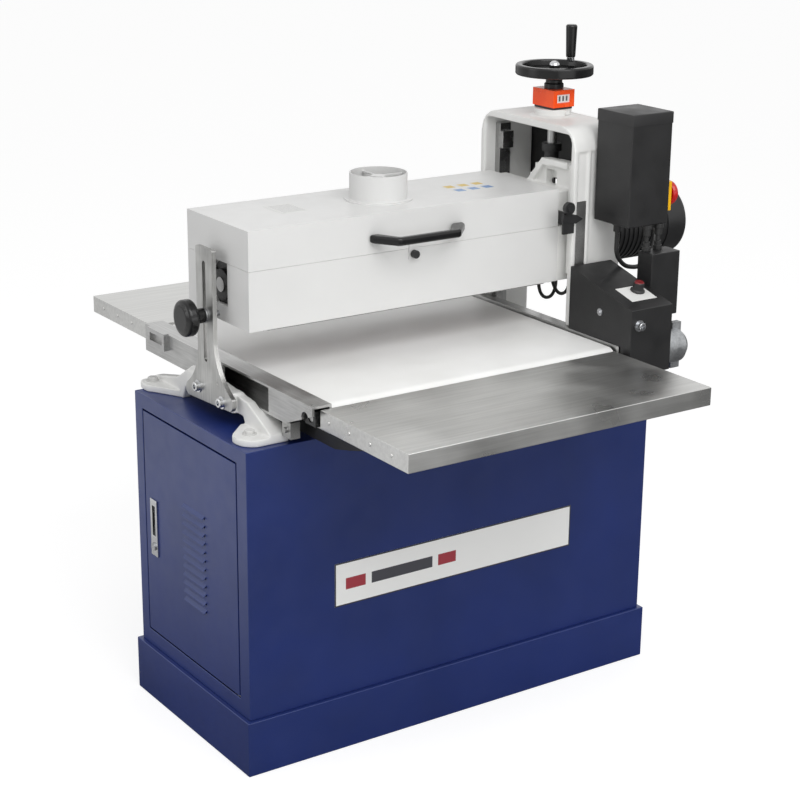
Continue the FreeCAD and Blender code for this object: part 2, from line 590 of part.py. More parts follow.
# Pressure rollers before and after the drum, in blocks on the end walls.
pz = ax - S.press_drop + S.press_r
carriers = []
for label, s in (("front", -1), ("rear", 1)):
    y = s * S.press_y
    yo = s * (hd - hw)
    ya, yb = (yo, y + 12) if s < 0 else (y - 12, yo)
    carriers += [

        cut(box(a, b, ya, yb, pz - 6, pz + 30), rod("x", 5 + S.journal, a - 1, b + 1, y, pz))
        for a, b in ((bk1, bk1 + 10), (hx1 - hw - 10, hx1 - hw))]
    node("press_roller_" + label, fuse(
        rod("x", S.press_r, bk1 + 16, hx1 - hw - 12, y, pz),
        rod("x", 5, bk1 + 1, hx1 - hw - 1, y, pz)))
node("press_carriers", group(*carriers))

# Dust cover with its hinge, hose collar, handle, catch and blank stickers.
cg, cv, px = S.cover_gap, S.cover_wall, S.port_x
ky, kz = hd + 5.5, hz1 + cg
hinge_bits = []
for a, b in ((-300, -101), (101, 250)):
    hinge_bits += [rod("x", 5, a, b, ky, kz), box(a, b, hd, ky - 1, hz1 - 28, hz1 - 0.5)]
node("cover_hinge", fuse(rod("x", 2.5, -300, 250, ky, kz), *hinge_bits))
tab_x = px + 3
node("dust_cover", cut(
    fuse(cut(box(hx0, hx1 - cg, -hd, hd, hz1 + cg, S.head_top),
             box(hx0 + cv, hx1 - cg - cv, -hd + cv, hd - cv, hz1 - 1, S.head_top - cv)),
         rod("x", 5, -100.5, 100.5, ky, kz),
         box(-100.5, 100.5, hd - 1, ky + 2, kz, kz + 5), box(-100.5, 100.5, hd - 1, hd + 2, kz, kz + 24),
         box(tab_x - 9, tab_x + 9, -hd - 2.4, -hd + 1, hz1 + 1, hz1 + 8),
         box(tab_x - 9, tab_x + 9, -hd - 2.4, -hd - 0.4, hz1 - 18, hz1 + 2)),
    rod("z", S.port_r - S.port_wall, S.head_top - 9, S.head_top + 1, px, 0),
    rod("x", 2.5 + S.journal, -101, 101, ky, kz),
    box(tab_x - 3.4, tab_x + 3.4, -hd - 3, -hd - 0.1, hz1 - 19, hz1 - 5.6)))
node("cover_catch", fuse(
    rod("y", 3, -hd - 4, -hd + hw - 0.5, tab_x, hz1 - 9),
    rod("y", 7, -hd - 12, -hd - 2.8, tab_x, hz1 - 9)))
pr, pt = S.port_r, S.port_top
spokes = [box(px - pr + 1, px + pr - 1, -2, 2, pt - 9, pt - 6), box(px - 2, px + 2, -pr + 1, pr - 1, pt - 9, pt - 6)]
node("dust_port", fuse(
    lathe("z", S.head_top, px, 0, [(pr - S.port_wall, 0), (pr + 9, 0), (pr + 9, 2), (pr + 1, 2), (pr, 3),
                                   (pr, pt - S.head_top), (pr - S.port_wall, pt - S.head_top)]),
    rod("z", 12, pt - 9, pt - 6, px, 0), *spokes))
gz0, gz1 = S.handle_z0, S.handle_z1
node("cover_handle", prism("z", gz0, gz1, [
    (px - 86, -hd), (px - 84, -hd - 12), (px - 62, -hd - 44), (px - 50, -hd - 50, px - 58, -hd - 48.5),
    (px + 60, -hd - 50), (px + 72, -hd - 44, px + 68, -hd - 48.5), (px + 102, -hd - 12), (px + 106, -hd),
    (px + 82, -hd), (px + 60, -hd - 34), (px + 54, -hd - 37, px + 57.5, -hd - 36.3), (px - 44, -hd - 37),
    (px - 50, -hd - 34, px - 47.5, -hd - 36.3), (px - 68, -hd)]))
node("cover_labels", group(
    box(-246, -192, -16, 48, S.head_top, S.head_top + 0.3),
    *[box(104 + 30 * k, 128 + 30 * k, y, y + 24, S.head_top, S.head_top + 0.3)
      for k in range(3) for y in (-30, 2)]))

# Stud and knob that clamp the free end of the head in the slotted bracket.
sz, sx = S.stud_z, S.brk_x0
node("lock_stud", fuse(rod("x", S.stud_r, sx - 37, hx0 + 12, 0, sz),
                       rod("x", 13, sx - 3, sx - S.run - 0.05, 0, sz)))
node("lock_knob", lathe("x", sx - 46, 0, sz, [
    (0, 0), (20, 0), (28, 3), (31, 9, 30.3, 5.6), (31, 16), (28, 22, 30.3, 19.5), (14, 28),
    (12.5, 31), (12.5, 42.6), (S.stud_r + S.journal, 42.6), (S.stud_r + S.journal, 8), (0, 8)]))

# Depth pointer that reads on the strip, with its clamp screw.
py = -S.col_y - 2.5
node("depth_pointer", fuse(
    box(hx1 + 0.3, hx1 + 3.2, py - 3.5, -96, 842, 866),
    box(hx1 - 22, hx1 + 3.2, py - 3.5, py, 833, 858),
    prism("y", py - 5, py, [(hx1 - 25, 856), (hx1 + 6, 850), (hx1 + 22, 857), (hx1 + 8, 865),
                            (hx1 - 5, 868), (hx1 - 22, 869)]),
    box(hx1 - 20, hx1 - 6, py - 3.5, py, 860, 884),
    rod("y", 11, py - 11, py - 3, hx1 - 13, 880), rod("y", 6.5, py - 14, py - 10, hx1 - 13, 880)))

# ---------------------------------------------------------- height adjuster
node("screw_collar", cut(
    fuse(rod("z", 33, ct + 3, ct + 14, S.screw_x, 0), rod("y", 4, -36, -20, S.screw_x + 4, ct + 8.5)),
    rod("z", S.screw_r + S.journal, ct + 2, ct + 15, S.screw_x, 0)))
i0, i1, ix = ct + 14, ct + 49, S.screw_x
node("indicator_base", cut(box(ix - 22, ix + 22, -27, 27, i0, i0 + 4),
                           rod("z", 13, i0 - 1, i0 + 5, ix, 0)))
node("position_indicator", cut(
    box(ix - 24, ix + 24, -30, 30, i0 + 4, i1), rod("z", 13, i0 + 3, i1 + 1, ix, 0),
    box(ix - 15, ix + 15, -31, -27.5, i0 + 12, i1 - 8)))
node("lead_screw", fuse(
    rod("z", S.screw_r, S.screw_low, S.wheel_top - 9, ix, 0),
    rod("z", 16, cap - 7, cap - S.run, ix, 0)))
wt, wr = S.wheel_top, S.wheel_r
turn = math.radians(SIZES["grip_turn"])
gx, gy = ix + S.grip_arm * math.cos(turn), S.grip_arm * math.sin(turn)
node("handwheel", cut(lathe("z", i1 + S.run, ix, 0, [
    (S.screw_r, 0), (17.5, 0), (17.5, 8), (15, 10), (15, 15), (22, 18), (wr - 15, wt - i1 - 15),
    (wr - 13, wt - i1 - 18), (wr - 4, wt - i1 - 19), (wr, wt - i1 - 16, wr - 1.2, wt - i1 - 18),
    (wr, wt - i1 - 4), (wr - 3.5, wt - i1 - 0.4, wr - 1, wt - i1 - 1.4), (wr - 9, wt - i1 - 0.4),
    (wr - 12.5, wt - i1 - 4, wr - 11.4, wt - i1 - 1.4), (wr - 13.5, wt - i1 - 10), (22, 23),
    (14, wt - i1 - 9.4), (S.screw_r, wt - i1 - 9.4)]), rod("z", 7, wt - 1, wt + 1, gx, gy)))
node("wheel_fittings", group(
    lathe("z", wt - 9, ix, 0, [(0, 0), (9.5, 0), (9.5, 7), (8.8, 9), (1, 14.4, 5.7, 13),
                                (0, 14.4)]),
    fuse(rod("z", 4, wt - 1, S.grip_top - 8, gx, gy), rod("z", 7, wt - 1, wt + 5.6, gx, gy))))
gl = S.grip_top - wt - 6
node("crank_grip", lathe("z", wt + 6, gx, gy, [
    (4 + S.journal, 0), (8.2, 0), (8.6, 2), (10.2, gl - 5), (8, gl, 9.6, gl - 1.4), (0, gl), (0, gl - 4),
    (4 + S.journal, gl - 4)]))

# --------------------------------------------------------------- electrics
# Control box: a sloped hood over the drive end of the conveyor.
q0, q1, r0, r1, w2 = S.ctl_x0, S.ctl_x1, S.ctl_y0, S.ctl_y1, 2
sf, sb, sl = S.ctl_front, S.ctl_back, S.ctl_low
node("control_box", cut(
    prism("x", q0, q1, [(r1, sl), (r1, sb), (r0, sf), (r0, sl)]),
    prism("x", q0 + w2, q1 - w2, [(r1 - w2, sl - 1), (r1 - w2, sb - 2.6), (r0 + w2, sf - 1.6),
                                  (r0 + w2, sl - 1)]),
    box(q0 - 1, S.rail_r1 + 1, -ry - 4, r1 + 1, sl - 1, rt),
    box(q1 - 3, q1 + 1, -S.roller_y - S.gmotor_r - 2, -S.roller_y + S.gmotor_r + 2, sl - 1,
        az + S.gmotor_r + 2)))
slope = math.atan2(float(sb - sf), float(r1 - r0))
sn, cn = math.sin(slope), math.cos(slope)


def on_slope(along, above=0):
    return (size(r0) + along * cn - above * sn, size(sf) + along * sn + above * cn)


node("face_plates", group(
    box(S.col_x0 + 9, S.col_x0 + 31, -S.col_y + 1.5, -S.col_y + 3, S.ctl_back - 65, 886),
    box(S.badge_x0, S.badge_x1, -cy - S.plate_thick, -cy, S.badge_z0, S.badge_z1),
    prism("x", q0 + 24, q1 - 13, [
        on_slope(S.label_low), on_slope(S.label_high), on_slope(S.label_high, S.plate_thick),
        on_slope(S.label_low, S.plate_thick)])))
ky0, kz0 = on_slope(S.knob_at, 1.0)
node("speed_knob", lathe("x", q0 + 60, ky0, kz0, [
    (0, 0), (13, 0), (13, 2), (10, 4), (9, 16), (7.5, 18), (0, 18)],
    turn=(V(1, 0, 0), math.degrees(slope))))

# Conveyor gear motor on the end of the drive roller.
ga, gb = -S.roller_y, az
node("gear_motor", cut(
    fuse(box(S.rail_r1, S.rail_r1 + 14, -ry + 2, ga + 24, bz1, rt),
         rod("x", S.gear_r, S.rail_r1 + 13, S.gear_x1 + 1, ga, gb),
         lathe("x", S.gear_x1, ga, gb, [
             (0, 0), (S.gmotor_r, 0), (S.gmotor_r, S.gmotor_x1 - S.gear_x1 - 11),
             (S.gmotor_r - 9, S.gmotor_x1 - S.gear_x1), (0, S.gmotor_x1 - S.gear_x1)]),
         box(S.gmotor_x1 - 24, S.gmotor_x1 - 4, ga - 6, ga + 6, gb - S.gmotor_r - 11,
             gb + S.gmotor_r + 11)),
    rod("x", S.roller_shaft + S.journal, S.rail_r1 - 1, S.rail_r1 + 34, ga, gb)))

# Terminal box above the gear motor, on the side of the control box.
node("terminal_box", cut(
    box(q1, S.post_x1, S.post_y0, S.post_y1, S.post_z0, S.post_z1),
    box(q1 + 2, S.post_x1 - 2, S.post_y0 + 2, S.post_y1 - 2, S.post_z0 + 2, S.post_z1 - 2)))

# Main switch box on a welded pad against the front of the column.
u0, u1, v0, v1, y0, y1 = S.sw_x0, S.sw_x1, S.sw_z0, S.sw_z1, S.sw_y0, S.sw_y1
node("switch_box", cut(
    fuse(box(u0, u1, y0, y1, v0, v1), box(u0 + 8, u0 + 56, y1 - 1, -S.col_y + 3, v0 + 20, v1 - 90)),
    box(u0 + 2, u1 - 2, y0 + 2, y1 - 2, v0 + 2, v1 - 2)))
ey, ez = S.estop_y, S.estop_z
node("estop_base", cut(box(u1, u1 + 12, ey - 25, ey + 25, ez - 26, ez + 26),
                       rod("x", 9.4, u1 - 1, u1 + 13, ey, ez)))
node("estop_button", lathe("x", u1 + 4, ey, ez, [
    (0, 0), (9, 0), (9, 16), (20, 17), (22, 21), (18, 30, 21, 26.5), (2, 34, 11, 32.8), (0, 34)]))

# Cable glands, the short looms between the boxes, and the lead to the motor.
glands = []
gya, gxb, gyb = S.loom_y, S.lead_x, S.lead_y
looms = [(S.loom_x, gya), (S.loom_x - S.loom_step, gya)]
for x, y in looms + [(gxb, gyb)]:
    glands.append(fuse(rod("z", 9, v0 - 8, v0, x, y), rod("z", 7, v0 - 20, v0 - 7, x, y)))
pz1 = S.post_z1
for x, y in looms:
    glands.append(fuse(rod("z", 8, pz1, pz1 + 8, x, y), rod("z", 6, pz1 + 7, pz1 + 16, x, y)))
node("cable_loom", group(
    *glands, *[route(4, [(x, y, v0 - 20), (x, y, pz1 + 16)]) for x, y in looms]))
node("motor_cable", route(4, [
    (gxb, gyb, v0 - 20.3), (gxb, gyb, v0 - 63), (gxb + 22, gyb + 2, v0 - 87),
    (gxb + 60, gyb + 6, v0 - 95), (gxb + 100, gyb + 22, v0 - 83), (gxb + 126, gyb + 40, v0 - 53),
    (gxb + 134, gyb + 60, v0 - 17), (gxb + 134, gyb + 92, v0 + 9), (gxb + 134, -32, v0 + 13)]))

# Bolts of the castings, bracket and tables: hexagon heads on round washers.
heads = []


def bolt(axis, side, a, u, v, r=S.bolt_r, high=S.bolt_high):
    """A hexagon head standing on a face at a, pointing to the given side."""
    e, w = [], float(r)
    for k in range(6):
        e.append((float(size(u)) + w * math.cos(k * math.pi / 3),
                  float(size(v)) + w * math.sin(k * math.pi / 3)))
    lo, mid, hi = (a, size(a) + 1.6, size(a) + 1.6 + high) if side > 0 else \
        (size(a) - 1.6, size(a) - 1.6 - high, a)
    if side > 0:
        heads.append(fuse(rod(axis, w + 3, lo, mid, u, v), prism(axis, size(a) + 1.5, hi, e)))
    else:
        heads.append(fuse(rod(axis, w + 3, lo, a, u, v), prism(axis, mid, size(a) - 1.5, e)))


bolt("z", 1, ft, -388, -146)
bolt("z", 1, ft, -388, 193)
bolt("x", -1, sx, 28, 618)
bolt("x", -1, sx, -53, 611)
for y in (-152, 152):
    bolt("z", 1, ft, S.col_x1 + 5, y)
    bolt("z", 1, ft, S.col_x0 + 34, y)
node("machine_bolts", group(*heads))

# ------------------------------------------------------------ check, export
doc.recompute()
bad = []
for o in doc.Objects:
    if "Invalid" in o.State or "Error" in o.State:
        bad.append("%s (%s) %s" % (o.Name, o.Label, o.State))
for o in NODES:
    if o.Shape.isNull() or not o.Shape.isValid() or not o.Shape.Solids:
        bad.append("shape of " + o.Label)
if bad:
    raise RuntimeError("\n".join(bad))
for o in NODES:
    o.Shape.exportStep("parts/%s.step" % o.Label)
    b = o.Shape.BoundBox
    print("%-20s %d solids  X %.1f %.1f  Y %.1f %.1f  Z %.1f %.1f" % (
        o.Label, len(o.Shape.Solids), b.XMin, b.XMax, b.YMin, b.YMax, b.ZMin, b.ZMax))
print(len(NODES), "nodes")
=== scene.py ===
import json
import math
import bpy
from mathutils import Matrix, Vector


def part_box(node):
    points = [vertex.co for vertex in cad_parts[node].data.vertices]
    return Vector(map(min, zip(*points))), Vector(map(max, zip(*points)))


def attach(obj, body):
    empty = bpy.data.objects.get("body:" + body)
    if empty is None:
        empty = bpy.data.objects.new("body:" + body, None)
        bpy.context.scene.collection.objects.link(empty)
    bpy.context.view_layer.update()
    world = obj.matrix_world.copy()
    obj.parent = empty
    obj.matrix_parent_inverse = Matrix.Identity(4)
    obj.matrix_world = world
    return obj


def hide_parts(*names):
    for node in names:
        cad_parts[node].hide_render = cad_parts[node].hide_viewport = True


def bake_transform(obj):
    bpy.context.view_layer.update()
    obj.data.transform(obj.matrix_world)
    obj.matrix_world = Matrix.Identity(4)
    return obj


# An open-ended drum sander on a closed steel cabinet. The script follows the
# machine as it is put together: cabinet, castings, conveyor, head, column,
# height adjuster and electrics. Sizes are in millimetres until a mesh is made.
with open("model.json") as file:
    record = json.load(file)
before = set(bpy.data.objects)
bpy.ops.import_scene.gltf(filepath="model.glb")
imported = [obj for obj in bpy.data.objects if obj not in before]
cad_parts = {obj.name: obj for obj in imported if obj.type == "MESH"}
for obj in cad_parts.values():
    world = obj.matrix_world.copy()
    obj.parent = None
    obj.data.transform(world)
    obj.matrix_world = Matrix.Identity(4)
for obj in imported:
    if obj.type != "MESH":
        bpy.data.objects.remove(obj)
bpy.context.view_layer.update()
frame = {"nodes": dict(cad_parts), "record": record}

# ---------------------------------------------------------------- camera
# A long lens at the operator's left, a little above the dust cover, turned by
# its yaw, pitch and roll in radians.
MM = 0.001
yaw, pitch, roll = 0.59989, 0.31608, 0.009811
stand_at = Vector((-1812.13, -2657.33, 1584.90))
ahead = Vector((math.sin(yaw) * math.cos(pitch), math.cos(yaw) * math.cos(pitch), -math.sin(pitch)))
level = Vector((math.cos(yaw), -math.sin(yaw), 0))
over = level.cross(ahead)
side = math.cos(roll) * level + math.sin(roll) * over
up = -math.sin(roll) * level + math.cos(roll) * over
lens = bpy.data.cameras.new("studio_lens")
lens.sensor_width, lens.lens = 36.0, 84.99
lens.clip_start, lens.clip_end = 0.05, 100.0
camera = bpy.data.objects.new("studio_camera", lens)
bpy.context.scene.collection.objects.link(camera)
camera.matrix_world = (Matrix.Translation(stand_at * MM)
                       @ Matrix((side, up, -ahead)).transposed().to_4x4())
bpy.context.scene.camera = camera


# ------------------------------------------------------- lights and floor
# White studio: softboxes overhead, at the left and in front. Bare metal mirrors
# the white backdrop; in reflections the floor has painted shade, darker close to the machine.
def ink(code):
    """The linear colour of an sRGB hex code."""
    parts = [int(code[k:k + 2], 16) / 255 for k in (1, 3, 5)]
    return [c / 12.92 if c <= 0.04045 else ((c + 0.055) / 1.055) ** 2.4 for c in parts] + [1.0]


def add(tree, kind, settings=None, links=None):
    """One node with its settings; each link brings a socket to the named input."""
    made = tree.nodes.new(kind)
    for key, value in (settings or {}).items():
        if isinstance(key, int) or key in made.inputs:
            made.inputs[key].default_value = value
        else:
            setattr(made, key, value)
    for key, socket in (links or {}).items():
        tree.links.new(socket, made.inputs[key])
    return made


def lamp(name, place, aim, wide, deep, watts):
    """A rectangular softbox at a place in metres, turned to face its aim."""
    light = bpy.data.lights.new(name, "AREA")
    light.shape, light.size, light.size_y, light.energy = "RECTANGLE", wide, deep, watts
    body = bpy.data.objects.new(name, light)
    bpy.context.scene.collection.objects.link(body)
    body.location = place
    body.rotation_mode = "QUATERNION"
    body.rotation_quaternion = (Vector(aim) - Vector(place)).to_track_quat("-Z", "Y")


lamp("overhead_softbox", (-0.3, -1.9, 2.5), (0, -0.2, 0.6), 2.4, 1.6, 41)
lamp("left_softbox", (-3.0, 0.9, 1.5), (-0.2, 0.1, 0.5), 1.6, 2.0, 14)
lamp("front_softbox", (0.2, -3.2, 0.8), (0, -0.1, 0.45), 3.0, 1.2, 13)

# The room: its light is a little stronger from the upper left rear, and it is
# plain white where it is seen directly, through something clear or in a mirror.
PURE_WHITE = (1, 1, 1, 1)
room = bpy.context.scene.world or bpy.data.worlds.new("studio_room")
bpy.context.scene.world = room
room.use_nodes = True
sky = room.node_tree
sky.nodes.clear()
way = add(sky, "ShaderNodeTexCoord")
turned_way = add(sky, "ShaderNodeVectorMath", {"operation": "DOT_PRODUCT", 1: (-0.50, 0.72, 0.42)},
                 {0: way.outputs["Generated"]})
spread = add(sky, "ShaderNodeMapRange",
             {"From Min": -0.75, "From Max": 0.75, "To Min": 0.54, "To Max": 0.62},
             {"Value": turned_way.outputs["Value"]})
room_light = add(sky, "ShaderNodeBackground", {"Color": PURE_WHITE},
                 {"Strength": spread.outputs["Result"]})
backdrop = add(sky, "ShaderNodeBackground", {"Color": PURE_WHITE, "Strength": 1.0})
seen = add(sky, "ShaderNodeLightPath")
through = add(sky, "ShaderNodeMath", {"operation": "MAXIMUM"},
              {0: seen.outputs["Is Camera Ray"], 1: seen.outputs["Is Transmission Ray"]})
mirrored = add(sky, "ShaderNodeMath", {"operation": "MAXIMUM"},
               {0: through.outputs[0], 1: seen.outputs["Is Glossy Ray"]})
either = add(sky, "ShaderNodeMixShader", None,
             {0: mirrored.outputs[0], 1: room_light.outputs[0], 2: backdrop.outputs[0]})
add(sky, "ShaderNodeOutputWorld", None, {"Surface": either.outputs[0]})

# The floor: pale seamless paper, half a millimetre below the plinth's underside.
bpy.ops.object.select_all(action="DESELECT")
bpy.ops.mesh.primitive_circle_add(vertices=96, radius=18, fill_type="NGON",
                                  location=(0, 0, -0.5 * MM))
floor = bpy.context.object
floor.name = "studio_floor"
bpy.ops.object.transform_apply(location=True)
paper = bpy.data.materials.new("seamless_paper")
paper.use_nodes = True
wall = paper.node_tree
wall.nodes.clear()
where = add(wall, "ShaderNodeTexCoord")
# Painted shade for reflections only: glossy rays see the floor darker near the machine, white far out to
# its left, in place of the shadow there.
lie = add(wall, "ShaderNodeVectorMath", {"operation": "DOT_PRODUCT", 1: (-1.0, 0.35, 0.0)},
          {0: where.outputs["Object"]})
fade = add(wall, "ShaderNodeMapRange", {"From Min": 0.52, "From Max": 1.35},
           {"Value": lie.outputs["Value"]})
painted_reflection_shade = add(wall, "ShaderNodeMixRGB", {"Color1": (0.22, 0.22, 0.22, 1), "Color2": PURE_WHITE},
                  {"Fac": fade.outputs["Result"]})
look = add(wall, "ShaderNodeLightPath")
tone = add(wall, "ShaderNodeMixRGB", {"Color1": (0.62, 0.62, 0.62, 1)},
           {"Fac": look.outputs["Is Glossy Ray"], "Color2": painted_reflection_shade.outputs[0]})
matt = add(wall, "ShaderNodeBsdfDiffuse", None, {"Color": tone.outputs[0]})
glow = add(wall, "ShaderNodeEmission", {"Color": PURE_WHITE, "Strength": 0.72})
shade = add(wall, "ShaderNodeBsdfDiffuse", {"Color": (0.42, 0.42, 0.42, 1)})
white = add(wall, "ShaderNodeAddShader", None, {0: glow.outputs[0], 1: shade.outputs[0]})
pick = add(wall, "ShaderNodeMixShader", None,
           {0: look.outputs["Is Camera Ray"], 1: matt.outputs[0], 2: white.outputs[0]})
add(wall, "ShaderNodeOutputMaterial", None, {"Surface": pick.outputs[0]})
floor.data.materials.append(paper)
bpy.context.scene.view_settings.view_transform = "Standard"


# ---------------------------------------------------------------- cabinet
# The stand: a folded sheet-steel plinth, a welded shell and a tray door with
# pressed louvres, all in one navy powder coat. Folds are rounded by 1.6 to 3 mm.
SMOOTH_BELOW = math.radians(38)
nodes = frame["nodes"]
record = frame["record"]
body_of = {name: body for body, names in record["behaviour"]["bodies"].items() for name in names}


def corners(node):
    """A node's lowest and highest corners in millimetres."""
    return [[value / MM for value in corner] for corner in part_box(node)]


def settle(piece, *names):
    """The piece stands for these CAD nodes and rides where they do."""
    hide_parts(*names)
    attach(piece, body_of[names[0]])


def merged_copy(node, name, skin):
    """The CAD node's shape as one closed mesh, selected and ready to be shaped."""
    bpy.ops.object.select_all(action="DESELECT")
    piece = bpy.data.objects.new(name, nodes[node].data.copy())
    piece.data.name = name
    bpy.context.scene.collection.objects.link(piece)
    bpy.context.view_layer.objects.active = piece
    piece.select_set(True)
    piece.data.materials.clear()
    piece.data.materials.append(skin)
    bpy.ops.object.mode_set(mode="EDIT")
    bpy.ops.mesh.customdata_custom_splitnormals_clear()
    bpy.ops.mesh.select_all(action="SELECT")
    bpy.ops.mesh.remove_doubles(threshold=0.01 * MM)
    bpy.ops.mesh.dissolve_limited(angle_limit=math.radians(0.2))
    bpy.ops.object.mode_set(mode="OBJECT")
    return piece


def rim(low, high, sides=2, near=0.2):
    """Tells the edges that lie on that many faces of a box in millimetres."""
    def test(at):
        return sum(min(abs(at[k] - low[k]), abs(at[k] - high[k])) < near for k in range(3)) >= sides
    return test


def softened(node, name, skin, wide, keep=None, turns=3, sharp=30):
    """A copy of a CAD node whose chosen sharp edges are rounded by a bevel."""
    piece = merged_copy(node, name, skin)
    bpy.ops.object.mode_set(mode="EDIT")
    bpy.ops.mesh.select_mode(type="EDGE")
    bpy.ops.mesh.select_all(action="DESELECT")
    bpy.ops.mesh.edges_select_sharp(sharpness=math.radians(sharp))
    bpy.ops.object.mode_set(mode="OBJECT")
    if keep:
        points = piece.data.vertices
        for edge in piece.data.edges:
            ends = [points[k].co for k in edge.vertices]
            edge.select = edge.select and keep([c / MM for c in (ends[0] + ends[1]) / 2])
    bpy.ops.object.mode_set(mode="EDIT")
    bpy.ops.mesh.bevel(offset=wide * MM, segments=turns, profile=0.5, clamp_overlap=True)
    bpy.ops.object.mode_set(mode="OBJECT")
    bpy.ops.object.shade_smooth_by_angle(angle=SMOOTH_BELOW)
    flatten = piece.modifiers.new("flat_faces", "WEIGHTED_NORMAL")
    flatten.keep_sharp, flatten.weight = True, 100
    bpy.ops.object.modifier_apply(modifier=flatten.name)
    settle(piece, node)
    return piece


def finish(name, metallic, rough, **extra):
    """A new material with its shader, read in Object coordinates."""
    skin = bpy.data.materials.new(name)
    skin.use_nodes = True
    tree = skin.node_tree
    tree.nodes.clear()
    place = add(tree, "ShaderNodeTexCoord").outputs["Object"]
    sockets = {key.replace("_", " "): value for key, value in extra.items()}
    shader = add(tree, "ShaderNodeBsdfPrincipled", {"Metallic": metallic, "Roughness": rough, **sockets})
    add(tree, "ShaderNodeOutputMaterial", None, {"Surface": shader.outputs[0]})
    return skin, tree, shader, place


def coated(name, pale, deep, rough, peel, lift, cloud=180, **extra):
    """Paint, film or moulded plastic: two close tones in soft clouds, a slightly
    uneven gloss, and a skin texture of the given size and height in millimetres."""
    skin, tree, shader, place = finish(name, 0.0, rough, **extra)
    drift = add(tree, "ShaderNodeTexNoise", {"Scale": 1000 / cloud, "Detail": 3}, {"Vector": place})
    part = add(tree, "ShaderNodeMapRange", {"From Min": 0.35, "From Max": 0.65},
               {"Value": drift.outputs[0]})
    tone = add(tree, "ShaderNodeMixRGB", {"Color1": ink(deep), "Color2": ink(pale)},
               {"Fac": part.outputs[0]})
    tree.links.new(tone.outputs[0], shader.inputs["Base Color"])
    smear = add(tree, "ShaderNodeTexNoise", {"Scale": 1000 / 35, "Detail": 2}, {"Vector": place})
    gloss = add(tree, "ShaderNodeMapRange",
                {"From Min": 0.3, "From Max": 0.7, "To Min": rough * 0.86, "To Max": rough * 1.14},
                {"Value": smear.outputs[0]})
    tree.links.new(gloss.outputs[0], shader.inputs["Roughness"])
    texture = add(tree, "ShaderNodeTexNoise", {"Scale": 1000 / peel, "Detail": 2}, {"Vector": place})
    skin_bump = add(tree, "ShaderNodeBump", {"Strength": 0.6, "Distance": lift * MM},
                    {"Height": texture.outputs[0]})
    tree.links.new(skin_bump.outputs[0], shader.inputs["Normal"])
    return skin


# Polyester powder coat, satin: an even film with fine orange peel that mirrors
# the room softly where it is seen at a low angle.
navy_powder_coat = coated("navy_powder_coat", "#1A2C6C", "#172863", 0.33, 3.0, 0.03, IOR=1.72,
                          Specular_Tint=(0.70, 0.78, 1.0, 1))
plinth_low, plinth_high = corners("plinth")
softened("plinth", "plinth_folded", navy_powder_coat, 2.5, rim(plinth_low, plinth_high))
shell_low, shell_high = corners("cabinet_shell")
softened("cabinet_shell", "cabinet_welded_shell", navy_powder_coat, 3.0, rim(shell_low, shell_high))
door_low, door_high = corners("cabinet_door")
softened("cabinet_door", "door_tray", navy_powder_coat, 1.6,
         rim([shell_low[0], door_low[1], door_low[2]], door_high))


# ------------------------------------------------------ door hardware
# Zinc-plated hinge ears and strike inside, and a chrome flush pull with a key
# barrel: the pull is a pressed plate with a recess for the fingertips.
def worked(name, pale, deep, rough, grain, lift, cloud=70, spread=0.25):
    """Bare or plated metal: streaks whose length along X, Y and Z is grain, in
    millimetres, over broad cloudy changes of tone and gloss."""
    skin, tree, shader, place = finish(name, 1.0, rough)
    lines = add(tree, "ShaderNodeVectorMath", {"operation": "MULTIPLY", 1: [1000 / g for g in grain]},
                {0: place})
    streak = add(tree, "ShaderNodeTexNoise", {"Scale": 1.0, "Detail": 4, "Roughness": 0.6},
                 {"Vector": lines.outputs[0]})
    drift = add(tree, "ShaderNodeTexNoise", {"Scale": 1000 / cloud, "Detail": 3}, {"Vector": place})
    both = add(tree, "ShaderNodeMath", {"operation": "ADD"}, {0: streak.outputs[0], 1: drift.outputs[0]})
    part = add(tree, "ShaderNodeMapRange", {"From Min": 0.75, "From Max": 1.25},
               {"Value": both.outputs[0]})
    tone = add(tree, "ShaderNodeMixRGB", {"Color1": ink(deep), "Color2": ink(pale)},
               {"Fac": part.outputs[0]})
    tree.links.new(tone.outputs[0], shader.inputs["Base Color"])
    gloss = add(tree, "ShaderNodeMapRange",
                {"From Min": 0.3, "From Max": 0.7,
                 "To Min": rough * (1 - spread), "To Max": rough * (1 + spread)},
                {"Value": drift.outputs[0]})
    tree.links.new(gloss.outputs[0], shader.inputs["Roughness"])
    scratch = add(tree, "ShaderNodeBump", {"Strength": 0.5, "Distance": lift * MM},
                  {"Height": streak.outputs[0]})
    tree.links.new(scratch.outputs[0], shader.inputs["Normal"])
    return skin


def dress(skin, *names):
    """A CAD node whose shape is right keeps it and takes this finish."""
    for name in names:
        slots = nodes[name].data.materials
        slots.clear()
        slots.append(skin)


# Bright zinc plate on steel: pale, slightly blue, with a faint cloudy lustre.
zinc_plate = worked("zinc_plated_steel", "#C9CACC", "#A3A5A8", 0.30, (3, 3, 3), 0.01, cloud=12)
# Polished chromium plate: nearly a mirror, with light wiping marks.
chrome_plate = worked("chrome_plated_steel", "#DADBDC", "#C0C1C3", 0.12, (14, 1.5, 1.5), 0.003)
dress(zinc_plate, "door_hardware")
softened("latch_plate", "door_flush_pull", chrome_plate, 0.8)
softened("latch_barrel", "door_key_barrel", zinc_plate, 0.5)

# --------------------------------------------------- castings on the cabinet
# Left base bar, column arch and carriage are grey iron, sand cast, filled and
# sprayed with pale enamel, so every edge is soft and no face is quite flat.
casting_enamel = coated("casting_enamel", "#E8E8E6", "#DEDEDC", 0.38, 9.0, 0.10, cloud=90)


